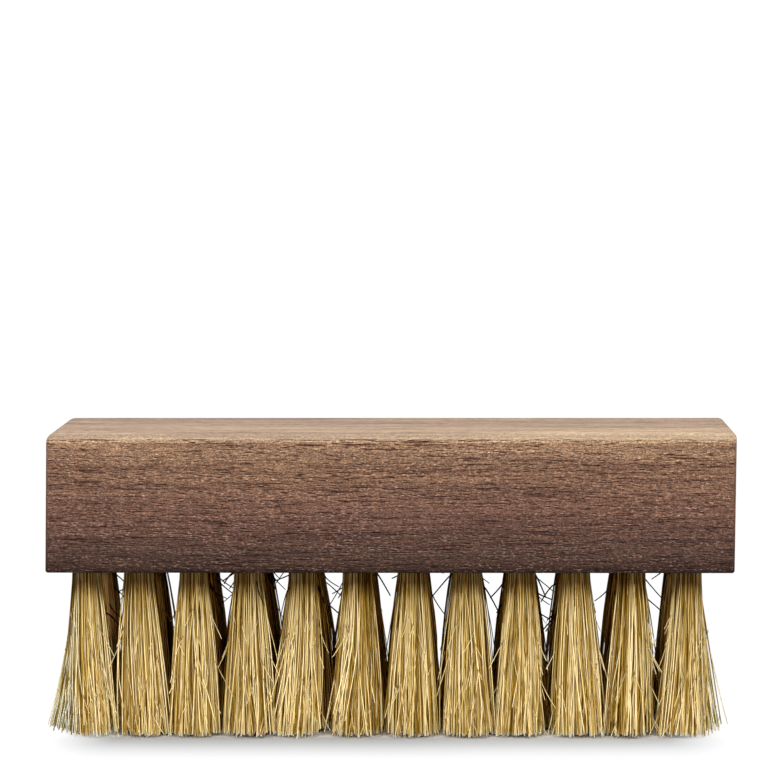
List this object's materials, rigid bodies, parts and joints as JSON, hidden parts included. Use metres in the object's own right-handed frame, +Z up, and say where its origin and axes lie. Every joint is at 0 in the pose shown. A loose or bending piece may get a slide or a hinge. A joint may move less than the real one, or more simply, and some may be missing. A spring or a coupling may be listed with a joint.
{
  "type": "shoe brush",
  "caption": "Rectangular walnut shoe brush: a solid wooden block with rows of natural bristle tufts in its underside, for polishing shoes by hand.",
  "frame": {"origin": "middle of the brush on the plane of its bristle tips, where it stands", "axes": "+X along the brush, +Y across it from the front of the picture to the back, +Z up from the bristle tips to the top of the block"},
  "size_m": [0.13, 0.04, 0.0579],
  "materials": {
    "walnut": "oiled satin",
    "bristle": "natural hog bristle, matte"
  },
  "bodies": {
    "root": {"walnut_block": "walnut", "bristle_tuft_r1_c01": "bristle", "bristle_tuft_r1_c02": "bristle", "bristle_tuft_r1_c03": "bristle", "bristle_tuft_r1_c04": "bristle", "bristle_tuft_r1_c05": "bristle", "bristle_tuft_r1_c06": "bristle", "bristle_tuft_r1_c07": "bristle", "bristle_tuft_r1_c08": "bristle", "bristle_tuft_r1_c09": "bristle", "bristle_tuft_r1_c10": "bristle", "bristle_tuft_r1_c11": "bristle", "bristle_tuft_r1_c12": "bristle", "bristle_tuft_r2_c01": "bristle", "bristle_tuft_r2_c02": "bristle", "bristle_tuft_r2_c03": "bristle", "bristle_tuft_r2_c04": "bristle", "bristle_tuft_r2_c05": "bristle", "bristle_tuft_r2_c06": "bristle", "bristle_tuft_r2_c07": "bristle", "bristle_tuft_r2_c08": "bristle", "bristle_tuft_r2_c09": "bristle", "bristle_tuft_r2_c10": "bristle", "bristle_tuft_r2_c11": "bristle", "bristle_tuft_r2_c12": "bristle", "bristle_tuft_r3_c01": "bristle", "bristle_tuft_r3_c02": "bristle", "bristle_tuft_r3_c03": "bristle", "bristle_tuft_r3_c04": "bristle", "bristle_tuft_r3_c05": "bristle", "bristle_tuft_r3_c06": "bristle", "bristle_tuft_r3_c07": "bristle", "bristle_tuft_r3_c08": "bristle", "bristle_tuft_r3_c09": "bristle", "bristle_tuft_r3_c10": "bristle", "bristle_tuft_r3_c11": "bristle", "bristle_tuft_r3_c12": "bristle", "bristle_tuft_r4_c01": "bristle", "bristle_tuft_r4_c02": "bristle", "bristle_tuft_r4_c03": "bristle", "bristle_tuft_r4_c04": "bristle", "bristle_tuft_r4_c05": "bristle", "bristle_tuft_r4_c06": "bristle", "bristle_tuft_r4_c07": "bristle", "bristle_tuft_r4_c08": "bristle", "bristle_tuft_r4_c09": "bristle", "bristle_tuft_r4_c10": "bristle", "bristle_tuft_r4_c11": "bristle", "bristle_tuft_r4_c12": "bristle"}
  },
  "joints": []
}
